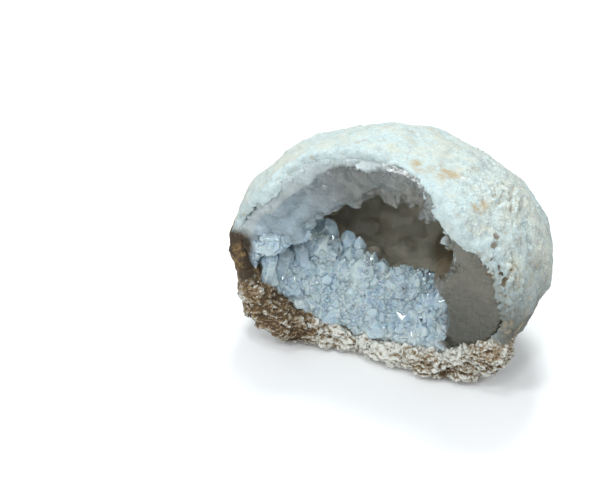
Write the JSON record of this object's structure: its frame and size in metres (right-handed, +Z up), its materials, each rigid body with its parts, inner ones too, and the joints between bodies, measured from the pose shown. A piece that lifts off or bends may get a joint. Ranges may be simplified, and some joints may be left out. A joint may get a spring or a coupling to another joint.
{
  "type": "geode half",
  "caption": "Broken half of a white quartz geode: a lumpy pale stone rind with a rough lip, open at one side on a hollow lined with a crust of clear quartz crystals.",
  "frame": {"origin": "on the surface the half rests on, under the middle of its box", "axes": "+Z up; the broken side with the hollow faces -Y and a little towards -X; +X along the width, to the right as seen from the broken side"},
  "size_m": [0.0974, 0.0754, 0.0747],
  "materials": {
    "rind": "matt, chalky, with brown stains",
    "quartz": "glassy, milky"
  },
  "bodies": {
    "root": {"rind": "rind", "crystal_crust": "quartz"}
  },
  "joints": []
}
